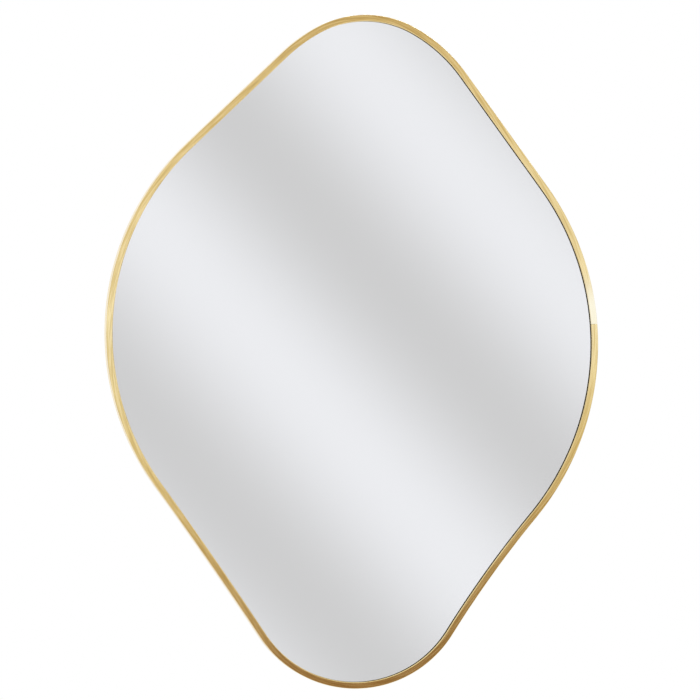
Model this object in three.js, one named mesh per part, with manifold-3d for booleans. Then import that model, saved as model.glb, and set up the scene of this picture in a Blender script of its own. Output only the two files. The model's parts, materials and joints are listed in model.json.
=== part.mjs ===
// A pebble-shaped wall mirror in a slim brushed metal frame, built up as the real one is:
// a bent rail, a silvered pane, a fibreboard back panel held by clips, and two D-ring hangers.
//
// Millimetres. +X is right and +Z is up as seen from the front, and the mirror faces -Y.
// The wall is the plane y = 0, and the origin is the middle of the outline on the wall.
// An inset is a distance from the rail's outer face towards the middle of the mirror.

import * as THREE from 'three';
import { mergeVertices } from 'three/addons/utils/BufferGeometryUtils.js';
import Module from 'manifold-3d';

const wasm = await Module();
wasm.setup();

// ---- Outline: four round bulbs, two shoulders, and hollows in two of the sides ---------

const RIGHT_BULB_X = -26.3;
const RIGHT_BULB_Z = 7.6;
const RIGHT_BULB_RADIUS = 301.8;
const TOP_BULB_X = 14.7;
const TOP_BULB_Z = 261;
const TOP_BULB_RADIUS = 114;
const TOP_BULB_HALF_ANGLE = THREE.MathUtils.degToRad(29); // from straight up to each shoulder
const TOP_RIGHT_SHOULDER_RADIUS = 175;
const TOP_LEFT_SHOULDER_RADIUS = 188;
const LEFT_BULB_X = 14.9;
const LEFT_BULB_Z = 21;
const LEFT_BULB_RADIUS = 290.4;
const BOTTOM_BULB_X = 3.2;
const BOTTOM_BULB_Z = -247;
const BOTTOM_BULB_RADIUS = 128;
const LOWER_LEFT_HOLLOW_RADIUS = 4930;
const LOWER_RIGHT_HOLLOW_RADIUS = 1224;
const CHORD_SAG = 0.1; // how far a facet may stray from its arc
const ROUND_SIDES = 16; // facets round a screw or a bumper

// ---- Frame rail profile --------------------------------------------------------------

const RAIL_WALL = 1.3;
const LIP_WIDTH = 7.2;
const LIP_THICKNESS = 1.5;
const OUTER_EDGE_CHAMFER = 0.5;
const FACE_FALL = 0.5; // the front face slopes back by this much towards its outer edge
const LIP_BEVEL = 0.9;
const CHANNEL_DEPTH = 2.1; // from the rail's wall to the inside of its return lips
const CHANNEL_HEIGHT = 8;
const RIB_THICKNESS = 1.2;
const REAR_FLANGE_THICKNESS = 1.4;
const RETURN_LIP_THICKNESS = 0.8;
const RETURN_LIP_HEIGHT = 1.2;
const SEAM_HEIGHT = 31; // z of the butt joint at the right
const SEAM_GAP = 0.3;

// ---- Splice across the butt joint ------------------------------------------------------

const SPLICE_PLAY = 0.3;
const GRUB_RADIUS = 2;
const GRUB_LENGTH = 3;
const GRUB_PLAY = 0.3;
const GRUB_SEAM_DISTANCE = 10; // from the butt joint to the nearest grub screws
const GRUB_SPACING = 15;
const GRUB_END_DISTANCE = 10; // from the outer grub screws to the bar's ends

// ---- Stack behind the lip, front to back ----------------------------------------------

const SEAL_THICKNESS = 0.8;
const SEAL_WIDTH = 2.1;
const SEAL_SETBACK = 0.5; // from the lip's inner edge
const GLASS_THICKNESS = 4;
const FILM_THICKNESS = 0.3;
const TAPE_THICKNESS = 1;
const PANEL_THICKNESS = 5;
const PANE_PLAY = 0.3; // round the pane and the panel, inside the rail's channel
const FILM_MARGIN = 2; // the film stops short of the pane's edge

// ---- Mounting tape ---------------------------------------------------------------------

const TAPE_WIDTH = 25;
const TAPE_LENGTH = 140;
const TAPE_COLUMN_GAP = 95;
const TAPE_ROW_GAP = 60;

// ---- Panel clips and screws -------------------------------------------------------------

const CLIP_COUNT = 8;
const CLIP_THICKNESS = 1.2;
const CLIP_WIDTH = 14;
const CLIP_NOSE_PLAY = 0.8; // from the clip's nose to the rail's wall
const CLIP_SEAT = 0.3; // between clip and panel, and between clip and rib
const CLIP_SCREW_INSET = 13;
const CLIP_START = 0.03; // share of the outline's length from the right bulb's start
const SCREW_HEAD_RADIUS = 3.4;
const SCREW_HEAD_HEIGHT = 2.2;
const SCREW_HEAD_EDGE = 0.9; // height of the head's straight rim
const SCREW_HEAD_TOP_RADIUS = 2.4;
const SCREW_SHANK_RADIUS = 1.6;
const SCREW_COVER = 0.8; // fibreboard left in front of a strap screw's tip
const SCREW_TIP = 1.4; // length of the pointed end
const SCREW_HOLE_PLAY = 0.3;

// ---- D-ring hangers ----------------------------------------------------------------------

const HANGER_SPACING = 300;
const HANGER_HEIGHT = 150; // z of the rings' hinge axis
const STRAP_WIDTH = 12;
const STRAP_THICKNESS = 1.2;
const STRAP_LAP = 4; // length of the folded end that is welded flat to the strap
const STRAP_FOLD_ANGLE = THREE.MathUtils.degToRad(35); // slope of the folded end, from upright
const STRAP_SCREW_MARGIN = 2.2; // from the hanging ring to the upper screw's head
const STRAP_SCREW_SPACING = 14;
const STRAP_END_DISTANCE = 8; // from the lower screw to the strap's end
const RING_WIRE_RADIUS = 1.2;
const WIRE_SIDES = 10; // facets round the wire
const RING_SIDE_PLAY = 1; // between the strap's edges and the ring's arms
const RING_ARM = 5; // straight side of the ring, from the hinge axis to its round end
const RING_CORNER_RADIUS = 2.4;
const RING_PLAY = 0.3; // round the wire, in the strap's fold
const RING_PANEL_GAP = 0.3; // from the leaning ring's tip to the panel

// ---- Rubber bumpers --------------------------------------------------------------------

const WALL_GAP = 1.5; // from the rail's rear edge to the wall
const BUMPER_INSET = 45;
const BUMPER_BASE_RADIUS = 8;
const BUMPER_TIP_RADIUS = 6;
const BUMPER_ROUNDING = 1;
const BUMPER_SHARES = { top_right: 0.27, top_left: 0.43, bottom_left: 0.77, bottom_right: 0.95 };

// ---- Places along Y, from the wall forwards --------------------------------------------

const railRear = -WALL_GAP;
const channelRear = railRear - REAR_FLANGE_THICKNESS;
const ribRear = channelRear - CHANNEL_HEIGHT;
const ribFront = ribRear - RIB_THICKNESS;
const clipRear = ribFront - CLIP_SEAT;
const clipFront = clipRear - CLIP_THICKNESS;
const panelRear = clipFront - CLIP_SEAT;
const panelFront = panelRear - PANEL_THICKNESS;
const filmRear = panelFront - TAPE_THICKNESS;
const glassRear = filmRear - FILM_THICKNESS;
const glassFront = glassRear - GLASS_THICKNESS;
const lipRear = glassFront - SEAL_THICKNESS;
const railFront = lipRear - LIP_THICKNESS;

// ---- Insets from the rail's outer face --------------------------------------------------

const channelInset = RAIL_WALL + CHANNEL_DEPTH;
const railInset = channelInset + RETURN_LIP_THICKNESS;
const paneInset = railInset + PANE_PLAY;

// ---- Materials ----------------------------------------------------------------------------

const finish = (color, metalness, roughness) =>
  new THREE.MeshStandardMaterial({ color, metalness, roughness });
const brushedGold = finish(0xd2b06a, 1, 0.35);
const silvering = finish(0xe4e6e8, 1, 0.03);
const blackFoam = finish(0x1c1b1a, 0, 0.95);
const greyFilm = finish(0x8f9498, 0, 0.5);
const whiteTape = finish(0xe8e6e0, 0, 0.9);
const fibreboard = finish(0x9a7248, 0, 0.85);
const zincPlate = finish(0xb9bcc0, 1, 0.3);
const nickelWire = finish(0xc9c3b6, 1, 0.2);
const blackRubber = finish(0x232323, 0, 0.8);

// ---- Outlines -------------------------------------------------------------------------------

/** Stations along an arc: points with their outward normals. A hollow's centre lies outside. */
function arcStations({ x, z, radius, from, to, hollow = false }) {
  const step = 2 * Math.acos(1 - CHORD_SAG / radius);
  const count = Math.max(2, Math.ceil(Math.abs(to - from) / step));
  return Array.from({ length: count + 1 }, (_, i) => {
    const ray = new THREE.Vector2(1, 0).rotateAround(new THREE.Vector2(), from + (to - from) * i / count);
    const point = new THREE.Vector2(x, z).addScaledVector(ray, radius);
    return { point, normal: hollow ? ray.negate() : ray };
  });
}

/** The side from bulb a to bulb b, anticlockwise: the angles at which it leaves a and meets b. */
function sideBetween(a, b) {
  const start = new THREE.Vector2(a.x, a.z);
  const along = new THREE.Vector2(b.x, b.z).sub(start);
  const distance = along.length();
  along.normalize();
  const outward = new THREE.Vector2(along.y, -along.x);
  if (!a.hollow) {
    const slope = (a.radius - b.radius) / distance;
    const tilt = Math.sqrt(Math.max(0, 1 - slope ** 2));
    const normal = along.clone().multiplyScalar(slope).addScaledVector(outward, tilt);
    return { leaves: normal.angle(), meets: normal.angle() };
  }
  const reachA = a.radius + a.hollow;
  const reachB = b.radius + a.hollow;
  const foot = (distance ** 2 + reachA ** 2 - reachB ** 2) / (2 * distance);
  const centre = start.clone()
    .addScaledVector(along, foot)
    .addScaledVector(outward, Math.sqrt(reachA ** 2 - foot ** 2));
  return {
    leaves: centre.clone().sub(start).angle(),
    meets: centre.clone().sub(new THREE.Vector2(b.x, b.z)).angle(),
    centre,
  };
}

/** Stations round the whole pebble, anticlockwise seen from the front. */
function pebbleStations(bulbs) {
  const turn = 2 * Math.PI;
  const sides = bulbs.map((bulb, i) => sideBetween(bulb, bulbs[(i + 1) % bulbs.length]));
  return bulbs.flatMap((bulb, i) => {
    const from = sides.at(i - 1).meets;
    const sweep = (sides[i].leaves - from + turn) % turn;
    const round = arcStations({ ...bulb, hollow: false, from, to: from + sweep });
    if (bulb.runsOn) return round.slice(0, -1);
    if (!bulb.hollow) return round;
    const { leaves, meets, centre } = sides[i];
    const back = { x: centre.x, z: centre.y, radius: bulb.hollow, hollow: true };
    const hollow = arcStations({ ...back, from: leaves + Math.PI, to: meets + Math.PI });
    return [...round, ...hollow.slice(1, -1)];
  });
}

const inset = (stations, distance) =>
  stations.map(({ point, normal }) => point.clone().addScaledVector(normal, -distance));

/** A shoulder: a larger arc that touches the top bulb from inside, at an angle from straight up. */
function shoulder(radius, angle) {
  const shift = new THREE.Vector2(0, TOP_BULB_RADIUS - radius).rotateAround(new THREE.Vector2(), angle);
  return { x: TOP_BULB_X + shift.x, z: TOP_BULB_Z + shift.y, radius };
}

// An arc that runs on has no side: the next one starts where it ends.
const rightBulb = { x: RIGHT_BULB_X, z: RIGHT_BULB_Z, radius: RIGHT_BULB_RADIUS };
const outline = pebbleStations([
  rightBulb,
  { ...shoulder(TOP_RIGHT_SHOULDER_RADIUS, -TOP_BULB_HALF_ANGLE), runsOn: true },
  { x: TOP_BULB_X, z: TOP_BULB_Z, radius: TOP_BULB_RADIUS, runsOn: true },
  shoulder(TOP_LEFT_SHOULDER_RADIUS, TOP_BULB_HALF_ANGLE),
  { x: LEFT_BULB_X, z: LEFT_BULB_Z, radius: LEFT_BULB_RADIUS, hollow: LOWER_LEFT_HOLLOW_RADIUS },
  { x: BOTTOM_BULB_X, z: BOTTOM_BULB_Z, radius: BOTTOM_BULB_RADIUS, hollow: LOWER_RIGHT_HOLLOW_RADIUS },
]);

/** The place at a share of the outline's length: a point on the outer face and its normal. */
function spotAlong(share) {
  const lengths = outline.map(({ point }, i) => point.distanceTo(outline[(i + 1) % outline.length].point));
  let left = share * lengths.reduce((sum, length) => sum + length);
  const i = lengths.findIndex((length) => (left -= length) <= 0);
  const here = outline[i];
  const next = outline[(i + 1) % outline.length];
  const part = 1 + left / lengths[i];
  return {
    point: here.point.clone().lerp(next.point, part),
    normal: here.normal.clone().lerp(next.normal, part).normalize(),
  };
}

// ---- Solids -----------------------------------------------------------------------------------

/** A flat plate: a front-view shape filled from y = front to y = rear. */
function plate(shape, front, rear) {
  const geometry = new THREE.ExtrudeGeometry(shape, { depth: 1, bevelEnabled: false });
  const stand = new THREE.Matrix4().set(1, 0, 0, 0, 0, 0, front - rear, rear, 0, 1, 0, 0, 0, 0, 0, 1);
  return geometry.applyMatrix4(stand);
}

/** A bar swept round a closed outline. The section's points are [inset, y], in order. */
function loop(stations, section) {
  const positions = stations.flatMap(({ point, normal }) =>
    section.flatMap(([distance, y]) => [point.x - normal.x * distance, y, point.y - normal.y * distance]));
  const index = [];
  const sides = section.length;
  stations.forEach((_, i) => section.forEach((_, j) => {
    const here = i * sides;
    const next = ((i + 1) % stations.length) * sides;
    const k = (j + 1) % sides;
    index.push(here + j, next + j, here + k, here + k, next + j, next + k);
  }));
  const geometry = new THREE.BufferGeometry();
  geometry.setAttribute('position', new THREE.Float32BufferAttribute(positions, 3));
  geometry.setIndex(index);
  return geometry;
}

/** A turned solid on the Y axis. The profile's points are [radius, y], axis to axis. */
const turned = (profile, sides) =>
  new THREE.LatheGeometry(profile.map(([radius, y]) => new THREE.Vector2(radius, y)), sides);

function toSolid(geometry) {
  const bare = geometry.clone();
  bare.deleteAttribute('normal');
  bare.deleteAttribute('uv');
  const merged = mergeVertices(bare);
  return new wasm.Manifold(new wasm.Mesh({
    numProp: 3,
    vertProperties: new Float32Array(merged.attributes.position.array),
    triVerts: new Uint32Array(merged.index.array),
  }));
}

function toGeometry(solid) {
  const { vertProperties, triVerts } = solid.getMesh();
  const geometry = new THREE.BufferGeometry();
  geometry.setAttribute('position', new THREE.BufferAttribute(vertProperties, 3));
  geometry.setIndex(new THREE.BufferAttribute(triVerts, 1));
  return geometry;
}

/** Cuts every tool out of a geometry. */
const cut = (geometry, tools) =>
  toGeometry(tools.reduce((solid, tool) => solid.subtract(toSolid(tool)), toSolid(geometry)));

// ---- Assembly -----------------------------------------------------------------------------------

const mirror = new THREE.Group();

function add(name, geometry, material, parent = mirror) {
  const mesh = new THREE.Mesh(geometry, material);
  mesh.name = name;
  parent.add(mesh);
  return mesh;
}

/** A group on the rail's outer face at a place of the outline. Its +X points inwards. */
function groupAt({ point, normal }) {
  const group = new THREE.Group();
  group.position.set(point.x, 0, point.y);
  group.rotation.y = Math.atan2(normal.y, -normal.x);
  mirror.add(group);
  return group;
}

// Rail: a lip in front, a rib that the clips' noses go under, and a channel at the rear.

const railSection = [
  [0, railRear],
  [0, railFront + FACE_FALL + OUTER_EDGE_CHAMFER],
  [OUTER_EDGE_CHAMFER, railFront + FACE_FALL],
  [LIP_WIDTH - LIP_BEVEL, railFront],
  [LIP_WIDTH, railFront + LIP_BEVEL],
  [LIP_WIDTH, lipRear],
  [RAIL_WALL, lipRear],
  [RAIL_WALL, ribFront],
  [railInset, ribFront],
  [railInset, ribRear + RETURN_LIP_HEIGHT],
  [channelInset, ribRear + RETURN_LIP_HEIGHT],
  [channelInset, ribRear],
  [RAIL_WALL, ribRear],
  [RAIL_WALL, channelRear],
  [channelInset, channelRear],
  [channelInset, channelRear - RETURN_LIP_HEIGHT],
  [railInset, channelRear - RETURN_LIP_HEIGHT],
  [railInset, railRear],
];

const seamAngle = Math.asin((SEAM_HEIGHT - RIGHT_BULB_Z) / RIGHT_BULB_RADIUS);

/** Turns a geometry made at angle 0 of the right bulb, where +X points outwards, to an angle. */
const onRightBulb = (geometry, angle) =>
  geometry.rotateY(-angle).translate(RIGHT_BULB_X, 0, RIGHT_BULB_Z);

function seamCut() {
  const depth = railRear - railFront;
  const box = new THREE.BoxGeometry(LIP_WIDTH * 3, depth * 2, SEAM_GAP);
  return onRightBulb(box.translate(RIGHT_BULB_RADIUS, railRear - depth / 2, 0), seamAngle);
}

add('frame_rail', cut(loop(outline, railSection), [seamCut()]), brushedGold);

// Splice: a steel bar in the channel, across the butt joint, locked by four grub screws.

const barOuter = RAIL_WALL + SPLICE_PLAY;
const barInner = channelInset - SPLICE_PLAY;
const barMiddle = (ribRear + channelRear) / 2;

const outerGrub = GRUB_SEAM_DISTANCE + GRUB_SPACING;
const grubAngles = [outerGrub, GRUB_SEAM_DISTANCE, -GRUB_SEAM_DISTANCE, -outerGrub]
  .map((distance) => seamAngle + distance / RIGHT_BULB_RADIUS);

function spliceArc() {
  const half = (outerGrub + GRUB_END_DISTANCE) / RIGHT_BULB_RADIUS;
  return arcStations({ ...rightBulb, from: seamAngle - half, to: seamAngle + half });
}

/** A rod through the splice bar, from one inset to another. */
function acrossBar(radius, fromInset, toInset, angle) {
  const bar = new THREE.CylinderGeometry(radius, radius, toInset - fromInset, ROUND_SIDES);
  bar.rotateZ(Math.PI / 2);
  bar.translate(RIGHT_BULB_RADIUS - (fromInset + toInset) / 2, barMiddle, 0);
  return onRightBulb(bar, angle);
}

const spliceBar = plate(
  new THREE.Shape([...inset(spliceArc(), barOuter), ...inset(spliceArc(), barInner).reverse()]),
  ribRear + SPLICE_PLAY,
  channelRear - SPLICE_PLAY,
);
add('splice_bar', cut(spliceBar, grubAngles.map((angle) =>
  acrossBar(GRUB_RADIUS + GRUB_PLAY, 0, LIP_WIDTH, angle))), zincPlate);
grubAngles.forEach((angle, i) => add(
  `splice_screw_${i + 1}`,
  acrossBar(GRUB_RADIUS, barOuter, barOuter + GRUB_LENGTH, angle),
  zincPlate,
));

// Pane: the foam seal behind the lip, the silvered glass, its safety film and the tape.

const sealShape = new THREE.Shape(inset(outline, LIP_WIDTH - SEAL_SETBACK - SEAL_WIDTH));
sealShape.holes.push(new THREE.Path(inset(outline, LIP_WIDTH - SEAL_SETBACK)));
add('lip_seal', plate(sealShape, lipRear, glassFront), blackFoam);
add('mirror_glass', plate(new THREE.Shape(inset(outline, paneInset)), glassFront, glassRear), silvering);
const filmShape = new THREE.Shape(inset(outline, paneInset + FILM_MARGIN));
add('safety_film', plate(filmShape, glassRear, filmRear), greyFilm);

const tapeColumns = [-1, 0, 1].map((column) => column * (TAPE_WIDTH + TAPE_COLUMN_GAP));
const tapeRows = [0.5, -0.5].map((row) => row * (TAPE_LENGTH + TAPE_ROW_GAP));
tapeRows.flatMap((z) => tapeColumns.map((x) => [x, z])).forEach(([x, z], i) => {
  const pad = new THREE.BoxGeometry(TAPE_WIDTH, TAPE_THICKNESS, TAPE_LENGTH);
  add(`tape_pad_${i + 1}`, pad, whiteTape).position.set(x, filmRear + TAPE_THICKNESS / 2, z);
});

// Screws: a pan head that faces the wall and a pointed shank. y = 0 is under the head.

const screwLength = STRAP_THICKNESS + PANEL_THICKNESS - SCREW_COVER;
const screwProfile = [
  [0, -screwLength],
  [SCREW_SHANK_RADIUS, SCREW_TIP - screwLength],
  [SCREW_SHANK_RADIUS, 0],
  [SCREW_HEAD_RADIUS, 0],
  [SCREW_HEAD_RADIUS, SCREW_HEAD_EDGE],
  [SCREW_HEAD_TOP_RADIUS, SCREW_HEAD_HEIGHT],
  [0, SCREW_HEAD_HEIGHT],
];
const screwHole = SCREW_SHANK_RADIUS + SCREW_HOLE_PLAY;
const pilotHoles = [];

function addScrew(name, x, y, z, parent = mirror) {
  const screw = add(name, turned(screwProfile, ROUND_SIDES), zincPlate, parent);
  screw.position.set(x, y, z);
  screw.updateWorldMatrix(true, false);
  const middle = screw.getWorldPosition(new THREE.Vector3());
  pilotHoles.push(new THREE.Path().absarc(middle.x, middle.z, screwHole, 0, 2 * Math.PI));
}

// Clips: flat steel tabs screwed to the panel, whose noses go under the rail's rib.

const clipShape = new THREE.Shape()
  .moveTo(RAIL_WALL + CLIP_NOSE_PLAY, CLIP_WIDTH / 2)
  .lineTo(RAIL_WALL + CLIP_NOSE_PLAY, -CLIP_WIDTH / 2)
  .absarc(CLIP_SCREW_INSET, 0, CLIP_WIDTH / 2, -Math.PI / 2, Math.PI / 2);
clipShape.holes.push(new THREE.Path().absarc(CLIP_SCREW_INSET, 0, screwHole, 0, 2 * Math.PI));

for (let i = 0; i < CLIP_COUNT; i++) {
  const place = groupAt(spotAlong(CLIP_START + i / CLIP_COUNT));
  add(`panel_clip_${i + 1}`, plate(clipShape, clipFront, clipRear), zincPlate, place);
  addScrew(`clip_screw_${i + 1}`, CLIP_SCREW_INSET, clipRear + CLIP_SEAT, 0, place);
}

// Hangers: a steel strap folded round the straight bar of a D-ring.

const hingeDepth = STRAP_THICKNESS + RING_PLAY + RING_WIRE_RADIUS; // from the panel to the hinge axis
const ringHalf = STRAP_WIDTH / 2 + RING_SIDE_PLAY + RING_WIRE_RADIUS;
const ringReach = RING_ARM + ringHalf; // from the hinge axis to the middle of the far wire
const ringLean = Math.asin((hingeDepth - RING_WIRE_RADIUS - RING_PANEL_GAP) / ringReach);

/** Follows the fold at a radius round the wire, from its slope over the top to the panel side. */
const foldArc = (path, radius) => path.absarc(hingeDepth, 0, radius, -STRAP_FOLD_ANGLE, Math.PI);

/** How far below the hinge axis the slope at this radius round the wire comes down to a depth. */
const slopeDrop = (radius, depth) =>
  radius * Math.sin(STRAP_FOLD_ANGLE)
  + (hingeDepth + radius * Math.cos(STRAP_FOLD_ANGLE) - depth) / Math.tan(STRAP_FOLD_ANGLE);

const upperScrewDrop = ringReach + RING_WIRE_RADIUS + STRAP_SCREW_MARGIN + SCREW_HEAD_RADIUS;
const lowerScrewDrop = upperScrewDrop + STRAP_SCREW_SPACING;
const strapLength = lowerScrewDrop + STRAP_END_DISTANCE;

/** The strap seen from its side: first coordinate from the panel, second from the hinge axis. */
function strapSide() {
  const eye = RING_WIRE_RADIUS + RING_PLAY;
  const lapTop = slopeDrop(eye + STRAP_THICKNESS, 2 * STRAP_THICKNESS);
  const shape = new THREE.Shape()
    .moveTo(0, -strapLength)
    .lineTo(STRAP_THICKNESS, -strapLength)
    .lineTo(STRAP_THICKNESS, -lapTop - STRAP_LAP)
    .lineTo(2 * STRAP_THICKNESS, -lapTop - STRAP_LAP)
    .lineTo(2 * STRAP_THICKNESS, -lapTop);
  foldArc(shape, eye + STRAP_THICKNESS);
  const hollow = foldArc(new THREE.Path(), eye);
  shape.holes.push(hollow.lineTo(STRAP_THICKNESS, -slopeDrop(eye, STRAP_THICKNESS)));
  return shape;
}

/** The strap's outline seen from the front, with a round lower end and its screw holes. */
function strapFace() {
  const end = STRAP_WIDTH / 2;
  const shape = new THREE.Shape()
    .moveTo(end, end - strapLength)
    .lineTo(end, 2 * hingeDepth)
    .lineTo(-end, 2 * hingeDepth)
    .absarc(0, end - strapLength, end, Math.PI, 2 * Math.PI);
  for (const drop of [upperScrewDrop, lowerScrewDrop]) {
    shape.holes.push(new THREE.Path().absarc(0, -drop, screwHole, 0, 2 * Math.PI));
  }
  return shape;
}

/** The strap, hung on its hinge axis, with the panel at y = 0. */
function strap() {
  const width = STRAP_WIDTH;
  const lay = new THREE.Matrix4().set(0, 0, width, -width / 2, 1, 0, 0, 0, 0, 1, 0, 0, 0, 0, 0, 1);
  const side = new THREE.ExtrudeGeometry(strapSide(), { depth: 1, bevelEnabled: false });
  const stamped = plate(strapFace(), -hingeDepth, 3 * hingeDepth);
  return toGeometry(toSolid(side.applyMatrix4(lay)).intersect(toSolid(stamped)));
}

/** The ring's wire: a straight bar on the hinge axis, two corners and a round end. */
function ringStations() {
  const corner = { z: RING_CORNER_RADIUS, radius: RING_CORNER_RADIUS };
  const cornerX = ringHalf - RING_CORNER_RADIUS;
  return [
    ...arcStations({ ...corner, x: cornerX, from: -Math.PI / 2, to: 0 }),
    ...arcStations({ x: 0, z: RING_ARM, radius: ringHalf, from: 0, to: Math.PI }),
    ...arcStations({ ...corner, x: -cornerX, from: Math.PI, to: 1.5 * Math.PI }),
  ];
}

const wireSection = Array.from({ length: WIRE_SIDES }, (_, i) => {
  const angle = 2 * Math.PI * i / WIRE_SIDES;
  return [RING_WIRE_RADIUS * Math.cos(angle), RING_WIRE_RADIUS * Math.sin(angle)];
});

for (const [side, x] of [['left', -HANGER_SPACING / 2], ['right', HANGER_SPACING / 2]]) {
  add(`hanger_strap_${side}`, strap(), zincPlate).position.set(x, panelRear, HANGER_HEIGHT);
  const ring = add(`hanger_ring_${side}`, loop(ringStations(), wireSection), nickelWire);
  ring.position.set(x, panelRear + hingeDepth, HANGER_HEIGHT);
  ring.rotation.x = ringLean;
  const underHead = panelRear + STRAP_THICKNESS;
  addScrew(`strap_screw_${side}_upper`, x, underHead, HANGER_HEIGHT - upperScrewDrop);
  addScrew(`strap_screw_${side}_lower`, x, underHead, HANGER_HEIGHT - lowerScrewDrop);
}

// Back panel: it takes every screw, and its pilot holes go right through.

const panelShape = new THREE.Shape(inset(outline, paneInset));
panelShape.holes.push(...pilotHoles);
add('back_panel', plate(panelShape, panelFront, panelRear), fibreboard);

// Bumpers: tapered rubber feet glued to the panel, which meet the wall at y = 0.

const bumperProfile = [
  [0, panelRear],
  [BUMPER_BASE_RADIUS, panelRear],
  [BUMPER_TIP_RADIUS, -BUMPER_ROUNDING],
  [BUMPER_TIP_RADIUS - BUMPER_ROUNDING, 0],
  [0, 0],
];
Object.entries(BUMPER_SHARES).forEach(([name, share]) => {
  const { point, normal } = spotAlong(share);
  const middle = point.addScaledVector(normal, -BUMPER_INSET);
  add(`bumper_${name}`, turned(bumperProfile, ROUND_SIDES), blackRubber).position.set(middle.x, 0, middle.y);
});

export default mirror;
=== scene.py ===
# %% [markdown]
# # A pebble-shaped wall mirror with a brushed gold frame
#
# The mirror is a silvered pane in a slim metal rail, which is bent round an irregular
# outline: four round bulbs joined by straight or slightly hollow sides. Its mechanical
# model comes packed as a frame. This lesson dresses that frame: it sweeps the rail with
# Geometry Nodes, stamps and places the small hardware on the back, and gives each
# surface a finish made of nodes. Lengths are metres, +X is right and +Z is up as seen
# from the front, the wall is the plane y = 0, and the mirror faces -Y.

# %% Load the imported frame
import json
import math

import bmesh
import bpy
from mathutils import Matrix, Vector
from mathutils.geometry import intersect_point_line


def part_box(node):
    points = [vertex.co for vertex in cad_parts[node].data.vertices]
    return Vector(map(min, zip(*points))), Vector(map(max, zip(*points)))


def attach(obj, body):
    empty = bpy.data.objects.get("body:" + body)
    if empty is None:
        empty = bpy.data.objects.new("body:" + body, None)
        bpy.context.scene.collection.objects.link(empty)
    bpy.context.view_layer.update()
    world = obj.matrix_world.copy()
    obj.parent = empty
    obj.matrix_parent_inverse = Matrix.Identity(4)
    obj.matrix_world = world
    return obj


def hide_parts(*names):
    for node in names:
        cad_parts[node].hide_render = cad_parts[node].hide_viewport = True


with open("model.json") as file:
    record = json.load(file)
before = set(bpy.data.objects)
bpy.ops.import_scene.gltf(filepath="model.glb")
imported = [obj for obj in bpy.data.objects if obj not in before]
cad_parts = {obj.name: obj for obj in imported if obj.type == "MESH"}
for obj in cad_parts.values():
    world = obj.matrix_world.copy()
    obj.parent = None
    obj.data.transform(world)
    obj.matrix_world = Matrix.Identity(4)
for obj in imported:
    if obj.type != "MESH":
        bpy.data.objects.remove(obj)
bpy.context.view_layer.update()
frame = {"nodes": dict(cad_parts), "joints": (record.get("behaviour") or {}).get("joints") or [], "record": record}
MM = 0.001
print("nodes in the frame:", len(frame["nodes"]))

# %% [markdown]
# ## Writing node trees as expressions
#
# Geometry and materials are both made of nodes. Placing each node by hand hides the
# thought behind it, so a small class wraps a socket and overloads Python's operators.
# An expression such as `1 - mask * 0.5` then adds its Math nodes by itself, and one
# method adds any other kind of node.

# %% A socket that does arithmetic
class Wire:
    """A socket of a node tree. Arithmetic on it adds the Math nodes that work it out."""

    def __init__(self, socket):
        self.socket = socket

    def out(self, name):
        return Wire(self.socket.node.outputs[name])

    def math(self, operation, *others):
        graph = Graph(self.socket.id_data)
        return graph.add("ShaderNodeMath", {"operation": operation}, (self, *others))

    def __add__(self, other):
        return self.math("ADD", other)

    def __sub__(self, other):
        return self.math("SUBTRACT", other)

    def __mul__(self, other):
        return self.math("MULTIPLY", other)

    def __truediv__(self, other):
        return self.math("DIVIDE", other)

    def __rsub__(self, other):
        return self.math("MULTIPLY_ADD", -1.0, other)

    def __neg__(self):
        return self.math("MULTIPLY", -1.0)

    __radd__, __rmul__ = __add__, __mul__


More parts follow.
